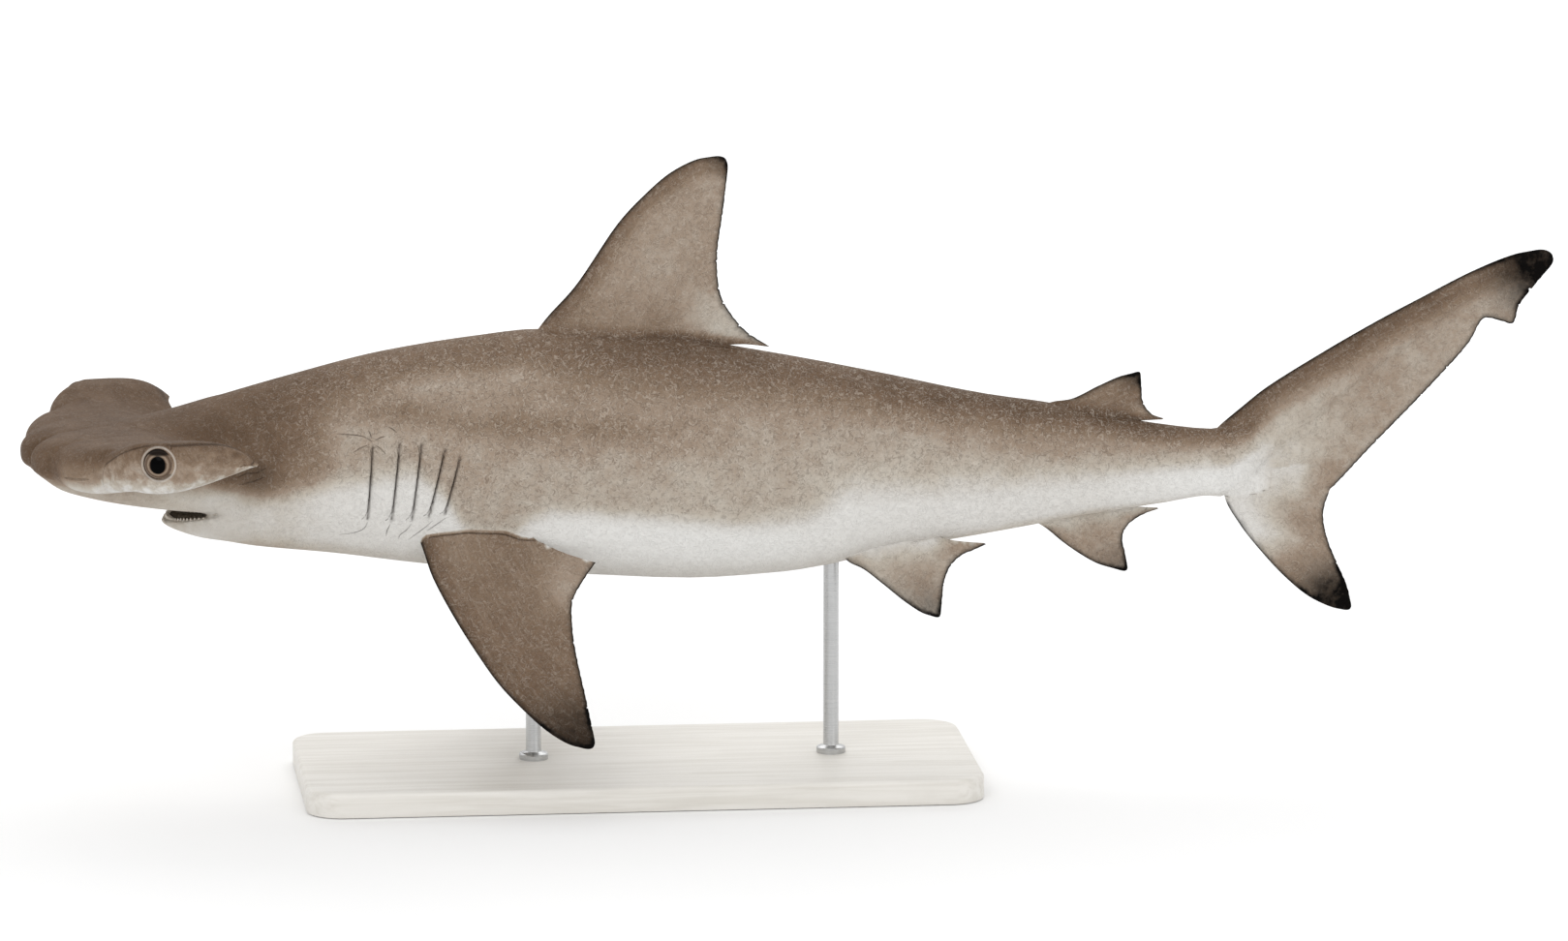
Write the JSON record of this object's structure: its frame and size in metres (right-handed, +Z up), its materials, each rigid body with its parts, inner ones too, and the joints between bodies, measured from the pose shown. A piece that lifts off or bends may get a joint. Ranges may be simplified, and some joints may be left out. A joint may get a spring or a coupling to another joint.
{
  "type": "hammerhead shark",
  "caption": "Life-size still model of a young hammerhead shark with a wide scalloped head, its mouth a little open, held level by rods on a flat display base.",
  "frame": {"origin": "middle of the underside of the stand's base, on the surface that it rests on", "axes": "the shark lies along X with its tail to +X and its head to -X, its right side is +Y, and +Z is up"},
  "size_m": [1.0019, 0.2698, 0.4105],
  "materials": {
    "skin_back": "satin shark skin, sepia grey-brown back fading to the pale belly",
    "skin_flank": "satin shark skin, grey-brown above and pale grey below",
    "skin_belly": "satin shark skin, pale grey-white",
    "skin_fin": "satin fin skin, brown with dusky edges and a black tip on the lower tail lobe",
    "eye": "wet gloss eye, brown iris and black pupil",
    "stand_base": "satin off-white paint",
    "stand_rod": "brushed"
  },
  "bodies": {
    "root": {"head": "skin_back", "lower_jaw": "skin_belly", "eye_left": "eye", "eye_right": "eye", "gill_region": "skin_flank", "torso_front": "skin_back", "torso_rear": "skin_flank", "tail_stalk": "skin_back", "caudal_fin": "skin_fin", "first_dorsal_fin": "skin_fin", "second_dorsal_fin": "skin_fin", "anal_fin": "skin_fin", "pectoral_fin_left": "skin_fin", "pectoral_fin_right": "skin_fin", "pelvic_fin_left": "skin_fin", "pelvic_fin_right": "skin_fin", "stand_base": "stand_base", "stand_rod_front": "stand_rod", "stand_rod_rear": "stand_rod"}
  },
  "joints": []
}
